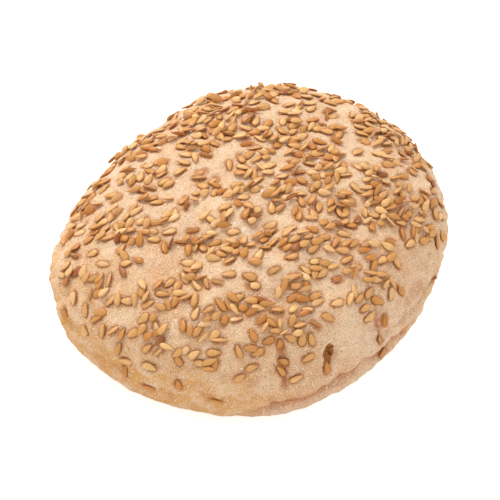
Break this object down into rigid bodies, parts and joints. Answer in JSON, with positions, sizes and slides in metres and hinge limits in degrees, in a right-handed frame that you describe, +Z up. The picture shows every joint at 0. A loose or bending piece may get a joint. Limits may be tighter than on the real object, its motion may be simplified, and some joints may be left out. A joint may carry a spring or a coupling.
{
  "type": "seeded bread roll",
  "caption": "Oval hand-shaped bread roll with a low domed crust, soft hollows, a tucked side fold, a flat base and toasted sesame seeds over its top.",
  "frame": {"origin": "on the flat base, under the middle of the roll's bounding box", "axes": "+X along the roll's long axis, +Y across it, +Z up through the dome"},
  "size_m": [0.103, 0.0882, 0.0372],
  "materials": {
    "crust": "dry matt baked wheat crust, pinkish beige, lightly dusted with flour, tanner low on the wall",
    "sesame": "satin toasted sesame hull, golden tan with darker rims"
  },
  "bodies": {
    "root": {"bread_roll": "crust", "sesame_seed_01": "sesame", "sesame_seed_02": "sesame", "sesame_seed_03": "sesame", "sesame_seed_04": "sesame", "sesame_seed_05": "sesame", "sesame_seed_06": "sesame", "sesame_seed_07": "sesame", "sesame_seed_08": "sesame", "sesame_seed_09": "sesame", "sesame_seed_10": "sesame", "sesame_seed_11": "sesame", "sesame_seed_12": "sesame", "sesame_seed_13": "sesame", "sesame_seed_14": "sesame", "sesame_seed_15": "sesame", "sesame_seed_16": "sesame", "sesame_seed_17": "sesame", "sesame_seed_18": "sesame", "sesame_seed_19": "sesame", "sesame_seed_20": "sesame", "sesame_seed_21": "sesame", "sesame_seed_22": "sesame", "sesame_seed_23": "sesame", "sesame_seed_24": "sesame", "sesame_seed_25": "sesame", "sesame_seed_26": "sesame", "sesame_seed_27": "sesame", "sesame_seed_28": "sesame", "sesame_seed_29": "sesame", "sesame_seed_30": "sesame", "sesame_seed_31": "sesame", "sesame_seed_32": "sesame", "sesame_seed_33": "sesame", "sesame_seed_34": "sesame", "sesame_seed_35": "sesame", "sesame_seed_36": "sesame", "sesame_seed_37": "sesame", "sesame_seed_38": "sesame", "sesame_seed_39": "sesame", "sesame_seed_40": "sesame", "sesame_seed_41": "sesame", "sesame_seed_42": "sesame", "sesame_seed_43": "sesame", "sesame_seed_44": "sesame", "sesame_seed_45": "sesame", "sesame_seed_46": "sesame", "sesame_seed_47": "sesame", "sesame_seed_48": "sesame", "sesame_seed_49": "sesame", "sesame_seed_50": "sesame", "sesame_seed_51": "sesame", "sesame_seed_52": "sesame", "sesame_seed_53": "sesame", "sesame_seed_54": "sesame", "sesame_seed_55": "sesame", "sesame_seed_56": "sesame", "sesame_seed_57": "sesame", "sesame_seed_58": "sesame", "sesame_seed_59": "sesame"}
  },
  "joints": []
}
